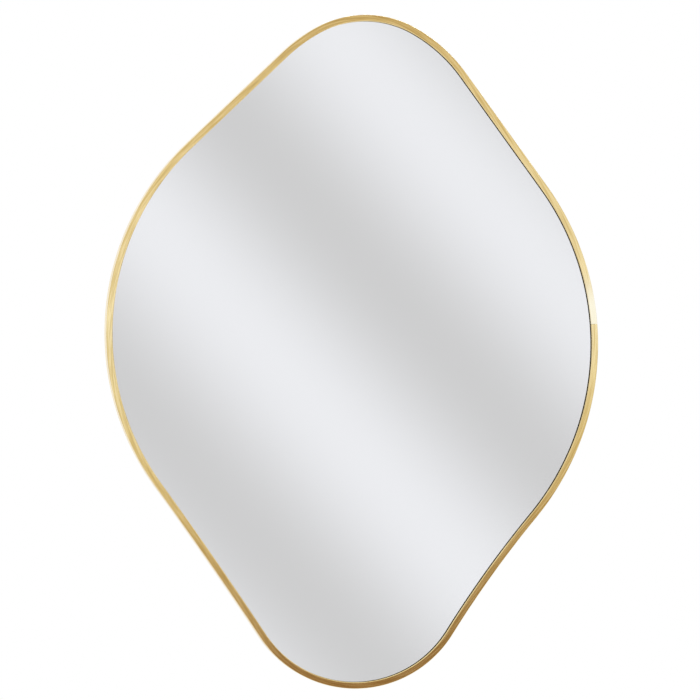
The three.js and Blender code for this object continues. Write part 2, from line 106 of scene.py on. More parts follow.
# %% A tree that takes nodes in one line
class Graph:
    """A node tree, to which add() adds one node and gives its first output."""

    def __init__(self, tree):
        self.tree = tree

    def add(self, kind, settings=None, inputs=(), out=0):
        """Settings come first, then a value or a wire for each socket, by order or by name."""
        node = self.tree.nodes.new(kind)
        for name, value in (settings or {}).items():
            if name == "stops":
                self.set_stops(node.color_ramp.elements, value)
            elif name == "items":
                self.set_items(node, value)
            else:
                setattr(node, name, value)
        pairs = inputs.items() if isinstance(inputs, dict) else enumerate(inputs)
        for key, value in pairs:
            if isinstance(value, Wire):
                self.tree.links.new(value.socket, node.inputs[key])
            elif value is not None:
                node.inputs[key].default_value = value
        return Wire(node.outputs[out]) if node.outputs else node

    @staticmethod
    def set_stops(elements, stops):
        while len(elements) < len(stops):
            elements.new(1.0)
        for element, (position, color) in zip(elements, stops):
            element.position, element.color = position, (*color, 1.0)

    @staticmethod
    def set_items(node, items):
        if hasattr(node, "capture_items"):
            for kind, name in items:
                node.capture_items.new(kind, name)
        else:
            while len(node.index_switch_items) < items:
                node.index_switch_items.new()

    def combine(self, x=0.0, y=0.0, z=0.0):
        return self.add("ShaderNodeCombineXYZ", None, (x, y, z))

    def split(self, vector):
        first = self.add("ShaderNodeSeparateXYZ", None, (vector,))
        return first, first.out("Y"), first.out("Z")

    def smooth(self, value, low, high):
        """0 below low and 1 above high, with a soft step between."""
        settings = {"interpolation_type": "SMOOTHSTEP"}
        return self.add("ShaderNodeMapRange", settings, {0: value, 1: low, 2: high})

    def mix(self, factor, a, b):
        """A colour between a and b."""
        a, b = (c if isinstance(c, Wire) else (*c, 1.0) for c in (a, b))
        settings = {"data_type": "RGBA"}
        return self.add("ShaderNodeMix", settings, {0: factor, 6: a, 7: b}, out=2)

    def noise(self, vector, scale, detail=2.0, roughness=0.5):
        inputs = {"Vector": vector, "Scale": scale, "Detail": detail, "Roughness": roughness}
        return self.add("ShaderNodeTexNoise", None, inputs)

    def stretched(self, vector, scales):
        return self.add("ShaderNodeVectorMath", {"operation": "MULTIPLY"}, (vector, scales))

    def moved(self, part, shift=(0.0, 0.0, 0.0), turn=(0.0, 0.0, 0.0)):
        inputs = {"Geometry": part, "Translation": shift, "Rotation": turn}
        return self.add("GeometryNodeTransform", None, inputs)


print("node trees can be written as expressions")

# %% [markdown]
# ## The outline
#
# The pebble is four circles, the bulbs, with sides that touch them: two sides are
# straight, and the two lower ones are hollow, as arcs of very large circles whose
# centres lie outside. The top bulb has a shoulder on each side, a wider arc that runs on
# from it. Arcs keep the bend smooth where a freehand curve would ripple. A Bezier spline
# holds an arc of up to 30 degrees almost exactly, if its handles are 4/3 tan(sweep / 4)
# radii long.

# %% Bulbs, shoulders and hollows
SEAM_HEIGHT = 31 * MM  # z of the rail's butt joint, at the right
SEAM_GAP = 0.3 * MM
TOP_BULB = (14.7 * MM, 261.0 * MM, 114.0 * MM)
TOP_HALF_ANGLE = math.radians(29)  # from straight up to where each shoulder begins


def shoulder(radius, lean):
    """A wider arc that touches the top bulb from inside, at an angle from straight up."""
    x, z, top = TOP_BULB
    return x + (radius - top) * math.sin(lean), z - (radius - top) * math.cos(lean), radius


BULBS = [  # x, z and radius of each arc, and the radius of the hollow that follows it
    (-26.3 * MM, 7.6 * MM, 301.8 * MM, None),
    (*shoulder(175 * MM, -TOP_HALF_ANGLE), None),
    (*TOP_BULB, None),
    (*shoulder(188 * MM, TOP_HALF_ANGLE), None),
    (14.9 * MM, 21.0 * MM, 290.4 * MM, 4.93),
    (3.2 * MM, -247.0 * MM, 128.0 * MM, 1.224),
]
TURN = 2 * math.pi
seam_angle = math.asin((SEAM_HEIGHT - BULBS[0][1]) / BULBS[0][2])


def angle_of(vector):
    return math.atan2(vector.y, vector.x) % TURN


def side_between(a, b):
    """The angles where the side leaves bulb a and meets bulb b, and the hollow's centre."""
    start, end = Vector(a[:2]), Vector(b[:2])
    distance = (end - start).length
    along = (end - start) / distance
    outward = Vector((along.y, -along.x))
    if a[3] is None:
        slope = round((a[2] - b[2]) / distance, 5)  # exactly 1 where the arcs touch
        normal = along * slope + outward * math.sqrt(1 - slope**2)
        return angle_of(normal), angle_of(normal), None
    reach_a, reach_b = a[2] + a[3], b[2] + a[3]
    foot = (distance**2 + reach_a**2 - reach_b**2) / (2 * distance)
    centre = start + along * foot + outward * math.sqrt(reach_a**2 - foot**2)
    return angle_of(centre - start), angle_of(centre - end), centre


sides = [side_between(bulb, BULBS[(i + 1) % len(BULBS)]) for i, bulb in enumerate(BULBS)]


def outline_arcs(gap=0.0):
    """Arcs as (centre, radius, from, sweep), anticlockwise from one side of the seam."""
    arcs = []
    half_gap = gap / 2 / BULBS[0][2]
    for i, (x, z, radius, hollow) in enumerate(BULBS):
        leaves, meets, centre = sides[i]
        start = seam_angle + half_gap if i == 0 else sides[i - 1][1]
        arcs.append((Vector((x, z)), radius, start, (leaves - start) % TURN))
        if centre:
            start = leaves + math.pi
            sweep = (meets - leaves + math.pi) % TURN - math.pi
            arcs.append((centre, hollow, start, sweep))
    start = sides[-1][1]
    last = (seam_angle - half_gap - start) % TURN
    arcs.append((Vector(BULBS[0][:2]), BULBS[0][2], start, last))
    return arcs


print("arcs of the outline:", len(outline_arcs()))

# %% The outline as a curve object
MOST_SWEEP = math.radians(30)
NO_SIDE = 0.01 * MM  # arcs whose ends are nearer than this have no straight side between


def linked(name, data):
    """A new object in the scene."""
    thing = bpy.data.objects.new(name, data)
    bpy.context.scene.collection.objects.link(thing)
    return thing


def ray(angle):
    return Vector((math.cos(angle), math.sin(angle)))


def outline_curve(name, gap=0.0, closed=False):
    """A Bezier curve flat in the XY plane, whose Y stands for the mirror's height."""
    knots = []  # point, direction of travel, handle length before, handle length after
    for centre, radius, start, sweep in outline_arcs(gap):
        pieces = max(1, math.ceil(abs(sweep) / MOST_SWEEP))
        handle = 4 / 3 * math.tan(abs(sweep) / pieces / 4) * radius
        turn = math.copysign(1, sweep)
        for k in range(pieces + 1):
            out = ray(start + sweep * k / pieces)
            travel = Vector((-out.y, out.x)) * turn
            knots.append([centre + out * radius, travel, handle, handle])
        if len(knots) == pieces + 1:
            continue
        before, first = knots[-pieces - 2], knots[-pieces - 1]
        straight = (first[0] - before[0]).length
        if straight < NO_SIDE:
            before[3] = first[3]
            knots.remove(first)
        else:
            before[3] = first[2] = straight / 3
    if closed:
        knots[0][2] = knots.pop()[2]
    data = bpy.data.curves.new(name, "CURVE")
    data.dimensions = "3D"
    data.resolution_u = 48
    spline = data.splines.new("BEZIER")
    spline.bezier_points.add(len(knots) - 1)
    spline.use_cyclic_u = closed
    for knot, (point, travel, before, after) in zip(spline.bezier_points, knots):
        knot.handle_left_type = knot.handle_right_type = "FREE"
        knot.co = (*point, 0)
        knot.handle_left = (*(point - travel * before), 0)
        knot.handle_right = (*(point + travel * after), 0)
    return linked(name, data)


open_outline = outline_curve("rail_outline", SEAM_GAP)
closed_outline = outline_curve("pane_outline", closed=True)
helpers = [open_outline, closed_outline]  # what is removed in the end
print("knots:", len(open_outline.data.splines[0].bezier_points))

# %% [markdown]
# ## A tree that bends a bar round the outline
#
# The maker bends a straight extrusion, so its section stays the same all the way
# round. Curve to Mesh does just that, if the section is drawn as a second curve. The
# section's corners are worked out in the tree from named sizes, so each one can be
# changed in the modifier, and Fillet Curve rounds them. Lengths measured along both
# curves are kept as a UV map, because brushing follows the bar and not the room.

# %% Sweep tree
SPACING = 2.5 * MM
UPRIGHT = (math.pi / 2, 0.0, 0.0)
ROUNDING_STEPS = 4


def section_curve(graph, corners, closed=True):
    """A curve through corners of (inset, depth, rounding, polish and painted sheen), or fewer of these."""
    corners = [(*corner, 0.0, 0.0)[:4] for corner in corners]
    index = graph.add("GeometryNodeInputIndex")
    count = len(corners)

    def by_corner(kind, values):
        settings = {"data_type": kind, "items": count}
        return graph.add("GeometryNodeIndexSwitch", settings, (index, *values))

    places = by_corner("VECTOR", [graph.combine(-inset, y) for inset, y, _, _ in corners])
    points = graph.add("GeometryNodePoints", None, (count, places))
    curve = graph.add("GeometryNodePointsToCurves", None, (points,))
    curve = graph.add("GeometryNodeSetSplineCyclic", None, (curve, True, closed))
    # each corner's polish: lower roughness in the gold, and a painted sheen in its colour
    polish = by_corner("FLOAT", [corner[3] for corner in corners])
    marked = graph.add(
        "GeometryNodeCaptureAttribute", {"items": [("FLOAT", "Polish")]}, (curve, polish))
    radius = by_corner("FLOAT", [corner[2] for corner in corners])
    rounded = graph.add(
        "GeometryNodeFilletCurve", {"mode": "POLY"},
        {"Curve": marked, "Count": ROUNDING_STEPS, "Radius": radius, "Limit Radius": True})
    return rounded, marked.out("Polish")


def new_tree(name, objects, sizes):
    """A tree with inputs for objects, a material and sizes, its graph, and wires from them."""
    tree = bpy.data.node_groups.new(name, "GeometryNodeTree")
    new_socket = tree.interface.new_socket
    for label in objects:
        new_socket(label, in_out="INPUT", socket_type="NodeSocketObject")
    new_socket("Material", in_out="INPUT", socket_type="NodeSocketMaterial")
    for label, size in sizes.items():
        new_socket(label, in_out="INPUT", socket_type="NodeSocketFloat").default_value = size
    new_socket("Result", in_out="OUTPUT", socket_type="NodeSocketGeometry")
    graph = Graph(tree)
    inputs = graph.add("NodeGroupInput")
    return graph, {label: inputs.out(label) for label in (*objects, "Material", *sizes)}


def close_tree(graph, geometry, finish):
    """The end of every tree: real meshes in place of instances, and one material."""
    real = graph.add("GeometryNodeRealizeInstances", None, (geometry,))
    real = graph.add("GeometryNodeSetMaterial", None, {"Geometry": real, "Material": finish})
    graph.add("NodeGroupOutput", None, (real,))
    return graph.tree


def sweep_tree(name, sizes, section):
    """Bends a bar round a curve object. section(size) gives the corners of the bar."""
    graph, size = new_tree(name, ["Outline"], {"Spacing": SPACING, **sizes})
    path = graph.add("GeometryNodeObjectInfo", None, (size["Outline"],)).out("Geometry")
    path = graph.add(
        "GeometryNodeResampleCurve", {"mode": "LENGTH"},
        {"Curve": path, "Length": size["Spacing"]})
    length = {"items": [("FLOAT", "Length")]}
    measure = graph.add("GeometryNodeSplineParameter").out("Length")
    path = graph.add("GeometryNodeCaptureAttribute", length, (path, measure))
    profile, polish = section_curve(graph, section(size))
    profile = graph.add("GeometryNodeCaptureAttribute", length, (profile, measure))
    bar = graph.add(
        "GeometryNodeCurveToMesh", None,
        {"Curve": path, "Profile Curve": profile, "Fill Caps": True})
    grain = graph.combine(path.out("Length"), profile.out("Length"))
    # the polish is kept for the gold's roughness and for a painted sheen in its colour
    for label, kind, domain, value in (
            ("grain", "FLOAT2", "CORNER", grain), ("polish", "FLOAT", "POINT", polish)):
        bar = graph.add(
            "GeometryNodeStoreNamedAttribute", {"data_type": kind, "domain": domain},
            {"Geometry": bar, "Name": label, "Value": value})
    bar = graph.add("GeometryNodeFlipFaces", None, (graph.moved(bar, turn=UPRIGHT),))
    return close_tree(graph, bar, size["Material"])


# %% Turning trees and modifiers into plain meshes
SHARP = math.radians(40)  # an edge that bends more than this stays crisp


def settle(piece):
    """Replaces a piece's modifiers by the mesh that they make."""
    depsgraph = bpy.context.evaluated_depsgraph_get()
    mesh = bpy.data.meshes.new_from_object(
        piece.evaluated_get(depsgraph), preserve_all_data_layers=True, depsgraph=depsgraph)
    piece.modifiers.clear()
    piece.data = mesh
    mesh.name = piece.name


def eased(piece):
    """Shades a mesh smooth, with normals that follow its large faces round each edge."""
    piece.data.shade_smooth()
    piece.data.set_sharp_from_angle(angle=SHARP)
    piece.modifiers.new("Weighted Normal", "WEIGHTED_NORMAL").keep_sharp = True
    settle(piece)
    tools = bmesh.new()
    tools.from_mesh(piece.data)
    open_edges = sum(not edge.is_manifold for edge in tools.edges)
    volume = tools.calc_volume(signed=True) / MM**3
    print(f"{piece.name}: {len(tools.faces)} faces, {open_edges} open edges, {volume:.1f} mm3")
    tools.free()
    return piece


def grown(name, tree, values):
    """Runs a tree on a bare object and keeps its result as a mesh object of this name."""
    host = linked(name, bpy.data.meshes.new(name))
    modifier = host.modifiers.new("Geometry Nodes", "NODES")
    modifier.node_group = tree
    for item in tree.interface.items_tree:
        if item.in_out == "INPUT" and item.name in values:
            modifier[item.identifier] = values[item.name]
    settle(host)
    return eased(host)


def stands_for(piece, nodes, body="mirror"):
    """Hangs a finished piece on its body, in place of CAD nodes."""
    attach(piece, body)
    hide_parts(*nodes)


print("sweep tree ready")

# %% [markdown]
# ## Finishes
#
# Each finish is a small function that wires one material. The base colours come from
# the imported record, so the dressed model and the plain one agree. Brushed gold is
# anodised over fine scratches: short hair and longer streaks run along the bar, lean a
# little where the abrasive belt wandered, and show as deeper and paler gold, as
# roughness and as relief. At the joint the maker has burnished one end of the bar, so
# that end is shinier, and its paler colour is a painted highlight. The polished edges
# of the rail are a little paler too, which is painted sheen, while their lower
# roughness is the polish itself.

# %% Tools for finishes
def material(name, wiring, *values):
    """A new material. wiring(graph, *values) gives its shader's inputs by name."""
    made = bpy.data.materials.new(name)
    made.use_nodes = True
    sockets = made.node_tree.nodes["Principled BSDF"].inputs
    for label, value in wiring(Graph(made.node_tree), *values).items():
        if isinstance(value, Wire):
            made.node_tree.links.new(value.socket, sockets[label])
        else:
            sockets[label].default_value = (*value, 1.0) if isinstance(value, tuple) else value
    return made


def relief(graph, height, distance, strength=1.0):
    inputs = {"Strength": strength, "Distance": distance, "Height": height}
    return graph.add("ShaderNodeBump", None, inputs)


def shade(color, *factors):
    """A colour times one factor, or times one for each channel."""
    return tuple(channel * factor for channel, factor in zip(color, factors * 3))


BASE = {m["slot"]: tuple(m["base_color"]) for m in frame["record"]["materials"]}


def object_place(graph):
    return graph.add("ShaderNodeTexCoord").out("Object")


print("base colours:", len(BASE))

# %% Brushed gold
BURNISH_AND_HIGHLIGHT_REACH = 64 * MM  # how far the burnish, and its painted highlight, reach past the joint
# painted highlight: the paler gold that the burnished end is mixed towards
PAINTED_HIGHLIGHT_GOLD = (0.98, 0.90, 0.68)
DEEP, PALE = (0.86, 0.77, 0.54), (1.18, 1.17, 1.10)  # factors on the base colour
HAIR, STREAK = (60.0, 2600.0), (22.0, 620.0)  # marks per metre, along and across the bar
STREAK_LEAN = 0.05


def brushed_gold(graph):
    """Fine hair and longer, leaning streaks along the bar, and a burnished start at the joint, paler by a painted
    highlight.
    """
    attribute = graph.add("ShaderNodeAttribute", {"attribute_name": "grain"}, out="Vector")
    along, across, _ = graph.split(attribute)
    polish = graph.add("ShaderNodeAttribute", {"attribute_name": "polish"}, out="Fac")
    hair = graph.noise(graph.combine(along * HAIR[0], across * HAIR[1]), 1.0)
    lean = across + along * STREAK_LEAN
    streak = graph.noise(graph.combine(along * STREAK[0], lean * STREAK[1], 3.0), 1.0)
    cloud = graph.noise(object_place(graph), 11.0, 3.0)
    deep, pale = (shade(BASE["brushed_gold"], *factors) for factors in (DEEP, PALE))
    tone = graph.smooth(streak * 0.6 + hair * 0.3 + cloud * 0.2, 0.42, 0.68)
    # polished edges turn paler: a painted sheen
    color = graph.mix(polish * 0.3, graph.mix(tone, deep, pale), pale)
    # the burnished end: shinier, and paler by a painted highlight
    burnish_and_highlight = 1 - graph.smooth(along, BURNISH_AND_HIGHLIGHT_REACH * 0.3, BURNISH_AND_HIGHLIGHT_REACH)
    color = graph.mix(burnish_and_highlight * 0.75, color, PAINTED_HIGHLIGHT_GOLD)
    rough = 0.2 + streak * 0.08 - polish * 0.08 - burnish_and_highlight * 0.05
    normal = relief(graph, hair * 0.4 + streak * 0.6, 0.02 * MM, 0.35)
    return {"Base Color": color, "Metallic": 1.0, "Roughness": rough, "Normal": normal}


GOLD = material("brushed_gold", brushed_gold)
print("gold:", GOLD.name)

# %% [markdown]
# ### Silver, glass, and the soft and pressed things behind them
#
# Silver is a smooth metal with a trace of haze, and glass is nearly clear, with dust.
# Foam shows its open cells and film its woven threads, so each gets its own pattern for
# colour and relief. Fibreboard is fibres pressed flat. Zinc and nickel are both plating
# over rolled steel, so one function makes the two.

# %% Silver and glass
def silvering(graph):
    haze = graph.smooth(graph.noise(object_place(graph), 3.0, 4.0), 0.45, 0.8)
    return {"Base Color": (0.93, 0.935, 0.94), "Metallic": 1.0, "Roughness": haze * 0.01}


def clear_glass(graph):
    dust = graph.smooth(graph.noise(object_place(graph), 900.0, 2.0), 0.7, 0.82)
    return {
        "Base Color": (0.02, 0.05, 0.04), "Roughness": 0.01 + dust * 0.1,
        "IOR": 1.52, "Alpha": 0.03 + dust * 0.02}


SILVER, GLASS = material("silvering", silvering), material("clear_glass", clear_glass)
GLASS.surface_render_method = "BLENDED"
print("silver and glass:", SILVER.name, GLASS.name)

# %% Foam, film, tape and board
FOAM_DARK, FOAM_PALE = (0.05, 0.043, 0.016), (0.11, 0.10, 0.045)  # pores, and their walls, with an olive-gold tint that is a painted reflection of the gold


# black foam; its olive-gold tint is a painted reflection of the gold rail
def foam(graph):
    place = {"Vector": object_place(graph), "Scale": 2500.0}
    cell = graph.add("ShaderNodeTexVoronoi", None, place)
    return {
        "Base Color": graph.mix(cell, FOAM_DARK, FOAM_PALE),
        "Roughness": 0.95, "Normal": relief(graph, cell, 0.1 * MM, 0.6)}


def woven_film(graph):
    x, _, z = graph.split(object_place(graph))
    warp = (x * 1600.0).math("SINE") * (z * 1600.0).math("SINE")
    thread = BASE["grey_film"]
    return {
        "Base Color": graph.mix(warp * 0.5 + 0.5, shade(thread, 0.85), thread),
        "Roughness": 0.5, "Normal": relief(graph, warp, 0.04 * MM)}


def foam_tape(graph):
    cell = graph.noise(object_place(graph), 1800.0)
    white = BASE["white_tape"]
    return {
        "Base Color": graph.mix(cell, shade(white, 0.9), white),
        "Roughness": 0.9, "Normal": relief(graph, cell, 0.08 * MM)}


def fibreboard(graph):
    """Pressed wood fibres: fine specks and short hairs, in slow clouds of light and dark."""
    place = object_place(graph)
    cloud = graph.noise(place, 9.0, 3.0)
    speck = graph.noise(place, 900.0, 3.0)
    fibre = graph.noise(graph.stretched(place, (260.0, 260.0, 1400.0)), 1.0, 3.0, 0.65)
    wood = BASE["fibreboard"]
    tone = graph.smooth(speck * 0.45 + fibre * 0.4 + cloud * 0.3, 0.35, 0.85)
    return {
        "Base Color": graph.mix(tone, shade(wood, 0.72), shade(wood, 1.3)),
        "Roughness": 0.78 + speck * 0.12,
        "Normal": relief(graph, speck + fibre, 0.05 * MM, 0.7)}


FOAM, FILM = material("black_foam", foam), material("grey_film", woven_film)
TAPE, BOARD = material("white_tape", foam_tape), material("fibreboard", fibreboard)
print("behind the pane:", FOAM.name, FILM.name, TAPE.name, BOARD.name)


# %% Rubber and plated steel
def rubber(graph):
    grain = graph.noise(object_place(graph), 2200.0, 3.0)
    black = BASE["black_rubber"]
    return {
        "Base Color": graph.mix(grain, shade(black, 0.7), shade(black, 1.6)),
        "Roughness": 0.7 + grain * 0.2, "Normal": relief(graph, grain, 0.05 * MM, 0.6)}


def plated(graph, color, low, high):
    """Bright plating over rolled steel: clouded roughness and faint rolling lines."""
    place = object_place(graph)
    cloud = graph.noise(place, 160.0, 4.0)
    rolled = graph.noise(graph.stretched(place, (4000.0, 4000.0, 120.0)), 1.0)
    return {
        "Base Color": graph.mix(cloud, shade(color, 0.85), shade(color, 1.1)),
        "Metallic": 1.0, "Roughness": low + cloud * (high - low),
        "Normal": relief(graph, rolled + cloud, 0.01 * MM, 0.5)}


RUBBER = material("black_rubber", rubber)
ZINC = material("zinc_plate", plated, BASE["zinc_plate"], 0.22, 0.42)
NICKEL = material("nickel_wire", plated, BASE["nickel_wire"], 0.12, 0.26)
print("materials:", len(bpy.data.materials))

# %% [markdown]
# ## The rail
#
# The section has a front lip over the pane, a rib that the clips catch, and a channel
# at the rear whose return lips trap the splice bar. Its front face slopes back a
# little towards the outer edge, so the top of the mirror catches the ceiling's light
# and the bottom the floor's. The inner edge has a polished bevel, which is shinier and
# paler by a painted sheen, as the outer edges are a little. Two extra corners on the
# face keep that polish and its painted sheen from spreading over it.

# %% Rail
RAIL_SIZES = {
    "Lip width": 7.2 * MM, "Lip thickness": 1.5 * MM, "Face fall": 0.5 * MM, "Bevel": 0.9 * MM,
    "Wall": 1.3 * MM, "Channel depth": 2.1 * MM, "Channel height": 8.0 * MM,
    "Rib": 1.2 * MM, "Flange": 1.4 * MM, "Return": 0.8 * MM, "Return height": 1.2 * MM,
    "Wall gap": 1.5 * MM, "Depth": 25.0 * MM, "Edge radius": 0.6 * MM, "Soft edge": 0.2 * MM,
}
FACE_CORNERS = (0.22, 0.9)  # shares of the face at which its extra corners stand


def rail_section(size):
    front, rear = -(size["Depth"] + size["Wall gap"]), -size["Wall gap"]
    lip, wall = size["Lip width"], size["Wall"]
    lip_rear, face_end = front + size["Lip thickness"], lip - size["Bevel"]
    mouth = rear - size["Flange"]
    rib_rear = mouth - size["Channel height"]
    rib_front = rib_rear - size["Rib"]
    channel = wall + size["Channel depth"]
    inner, tall = channel + size["Return"], size["Return height"]
    soft, fall = size["Soft edge"], size["Face fall"]
    return [
        # a corner's last number is its polish, which also pales the gold as a painted sheen
        (0.0, rear, soft, 0.3), (0.0, front + fall, size["Edge radius"], 0.6),
        *((face_end * share, front + fall * (1 - share)) for share in FACE_CORNERS),
        (face_end, front, soft, 1.0), (lip, front + size["Bevel"], soft, 1.0),
        (lip, lip_rear), (wall, lip_rear), (wall, rib_front), (inner, rib_front, soft),
        (inner, rib_rear + tall, soft), (channel, rib_rear + tall), (channel, rib_rear),
        (wall, rib_rear), (wall, mouth), (channel, mouth), (channel, mouth - tall),
        (inner, mouth - tall, soft), (inner, rear, soft),
    ]


rail_tree = sweep_tree("rail", RAIL_SIZES, rail_section)
rail = grown("gold_rail", rail_tree, {"Outline": open_outline, "Material": GOLD})
stands_for(rail, ["frame_rail"])

# %% [markdown]
# ## The pane and its seal
#
# A household mirror is silvered on the back of the glass. Seen at a slant, the lip and
# its image in the silver stand a little apart with the dark foam seal between them,
# which is the thin dark line inside the frame. So the pane is made as two pieces: a
# clear sheet in front and a silver layer behind it. The clear sheet lets light through
# unbent, which renders without noise.

# %% Seal
SEAL_SIZES = {
    "Outer inset": 4.6 * MM, "Inner inset": 6.7 * MM, "Front": 25.0 * MM, "Rear": 24.2 * MM,
    "Soft edge": 0.15 * MM,
}


def seal_section(size):
    soft, outer, inner = size["Soft edge"], size["Outer inset"], size["Inner inset"]
    front, rear = -size["Front"], -size["Rear"]
    return [(outer, rear, soft), (outer, front, soft), (inner, front, soft), (inner, rear, soft)]


seal_tree = sweep_tree("seal", SEAL_SIZES, seal_section)
seal = grown("foam_seal", seal_tree, {"Outline": closed_outline, "Material": FOAM})
stands_for(seal, ["lip_seal"])


# %% Glass sheet and silver layer
def outline_points(inset, spacing=3 * MM, closest=0.05 * MM):
    """Points of the outline moved inwards, anticlockwise, in the XZ plane."""
    points = []
    for centre, radius, start, sweep in outline_arcs():
        turned_in = -inset if sweep > 0 else inset
        steps = max(2, math.ceil(abs(sweep) * radius / spacing))
        for k in range(steps + 1):
            points.append(centre + ray(start + sweep * k / steps) * (radius + turned_in))
    kept = [points[0]]
    for point in points[1:]:
        if min((point - kept[-1]).length, (point - points[0]).length) > closest:
            kept.append(point)
    return kept


def new_piece(name, mesh_tools, finish):
    """Turns a bmesh into an object with one finish."""
    mesh = bpy.data.meshes.new(name)
    bmesh.ops.recalc_face_normals(mesh_tools, faces=mesh_tools.faces)
    mesh_tools.to_mesh(mesh)
    mesh_tools.free()
    mesh.materials.append(finish)
    piece = linked(name, mesh)
    print(name, "faces:", len(mesh.polygons))
    return piece


def sheet_piece(name, inset, front, rear, arris, finish):
    """A flat sheet of the outline's shape, whose edges are ground off by the arris."""
    tools = bmesh.new()
    levels = [(arris, front), (0, front + arris), (0, rear - arris), (arris, rear)]
    rings = [
        [tools.verts.new((p.x, y, p.y)) for p in outline_points(inset + more)]
        for more, y in levels
    ]
    for a, b in zip(rings, rings[1:]):
        for i in range(len(a)):
            j = (i + 1) % len(a)
            tools.faces.new((a[i], a[j], b[j], b[i]))
    tools.faces.new(rings[0])
    tools.faces.new(rings[-1][::-1])
    return new_piece(name, tools, finish)


PANE_INSET = 4.5 * MM
ARRIS = 0.4 * MM
SILVER_THICKNESS = 0.08 * MM
HAIRLINE = 0.02 * MM  # between glass and silver, and the silver's own arris
glass_low, glass_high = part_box("mirror_glass")
silver_front = glass_high.y - SILVER_THICKNESS
glass_rear = silver_front - HAIRLINE
glass = sheet_piece("glass_sheet", PANE_INSET, glass_low.y, glass_rear, ARRIS, GLASS)
silver = sheet_piece(
    "silver_layer", PANE_INSET + ARRIS, silver_front, glass_high.y, HAIRLINE, SILVER)
for piece in (glass, silver):
    stands_for(piece, ["mirror_glass"])

# %% [markdown]
# ## Plates and pads behind the pane
#
# The fibreboard panel, the safety film, the tape and the splice bar are flat or bent
# plates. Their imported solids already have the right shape, so they stay and only get
# their finish.

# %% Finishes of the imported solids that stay
def nodes_named(*starts):
    return sorted(name for name in frame["nodes"] if name.startswith(starts))


KEPT = {"back_panel": BOARD, "safety_film": FILM, "splice_bar": ZINC}
KEPT.update((name, TAPE) for name in nodes_named("tape_pad_"))
for name, finish in KEPT.items():
    node = frame["nodes"][name]
    node.data.materials.clear()
    node.data.materials.append(finish)
print("packed solids with a finish:", len(KEPT))

# %% [markdown]
# ## Turned parts: screws and bumpers
#
# Screws and rubber bumpers come off a lathe or out of a round mould. A lathe in Geometry
# Nodes is the sweep again: the path is a circle, and the section runs from the axis out
# to the rim and back to the axis. A cutter then takes the recess out of the head, and
# one instance stands on each spot. Spots are a mesh of bare points, and each carries its
# turn as an attribute, so that no two screws stop at the same angle.

# %% Lathe tree
LATHE_SIDES = 40
SAME_POINT = 0.001 * MM  # points nearer than this are merged


def set_on_spots(graph, part, spots):
    """One instance of the part on each spot, turned as the spot says."""
    points = graph.add("GeometryNodeObjectInfo", None, (spots,)).out("Geometry")
    named = {"data_type": "FLOAT_VECTOR"}
    turn = graph.add("GeometryNodeInputNamedAttribute", named, ("turn",))
    rotation = graph.add("FunctionNodeEulerToRotation", None, (turn,))
    return graph.add(
        "GeometryNodeInstanceOnPoints", None,
        {"Points": points, "Instance": part, "Rotation": rotation})


def lathe_tree(name, sizes, section, cutter=None):
    """Turns section(size), from axis to axis, round Y, and cuts the cutter out of it."""
    graph, size = new_tree(name, ["Spots"], sizes)
    circle = {"Resolution": LATHE_SIDES, "Radius": size["Radius"]}
    path = graph.add("GeometryNodeCurvePrimitiveCircle", None, circle)
    corners = [(size["Radius"] - radius, *rest) for radius, *rest in section(size)]
    profile, _ = section_curve(graph, corners, closed=False)
    part = graph.add("GeometryNodeCurveToMesh", None, {"Curve": path, "Profile Curve": profile})
    near = {"Geometry": part, "Distance": SAME_POINT}
    part = graph.add("GeometryNodeMergeByDistance", None, near)
    part = graph.moved(part, turn=UPRIGHT)
    if cutter:
        settings = {"operation": "DIFFERENCE", "solver": "EXACT"}
        both = {"Mesh 1": part, "Mesh 2": cutter(graph, size), "Self Intersection": True}
        part = graph.add("GeometryNodeMeshBoolean", settings, both)
    return close_tree(graph, set_on_spots(graph, part, size["Spots"]), size["Material"])


def spots_at(name, places):
    """Bare points for instances. Each place is a position and the turn of its instance."""
    mesh = bpy.data.meshes.new(name)
    mesh.from_pydata([position for position, _ in places], [], [])
    turns = mesh.attributes.new("turn", "FLOAT_VECTOR", "POINT")
    for entry, (_, turn) in zip(turns.data, places):
        entry.vector = turn
    spots = linked(name, mesh)
    helpers.append(spots)
    return spots


def rear_of(name, drop=0.0):
    """The middle of a CAD node's rear face, or a spot that lies in front of it by the drop."""
    low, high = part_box(name)
    return (low.x + high.x) / 2, high.y - drop, (low.z + high.z) / 2


def set_out(name, tree, places, finish, slot, nodes, **inputs):
    """Makes one piece of what a tree sets on places, to stand for CAD nodes."""
    spots = spots_at(name + "_spots", places)
    piece = grown(name, tree, {"Spots": spots, "Material": finish, **inputs})
    stands_for(piece, nodes)


print("lathe ready")

# %% Pan head screws with a cross recess
SCREW_SIZES = {
    "Radius": 3.4 * MM, "Head height": 2.2 * MM, "Head rounding": 1.15 * MM, "Shank": 1.6 * MM,
    "Length": 5.4 * MM, "Tip": 1.4 * MM, "Soft edge": 0.12 * MM,
    "Recess width": 0.85 * MM, "Recess length": 3.5 * MM, "Recess depth": 1.3 * MM,
}
SCREW_TURN = math.radians(53)  # each screw stops this much further round than the last


def screw_section(size):
    height, soft = size["Head height"], size["Soft edge"]
    length, shank = size["Length"], size["Shank"]
    return [
        (0.0, -length), (shank, size["Tip"] - length), (shank, 0.0),
        (size["Radius"], 0.0, soft), (size["Radius"], height, size["Head rounding"]),
        (0.0, height),
    ]


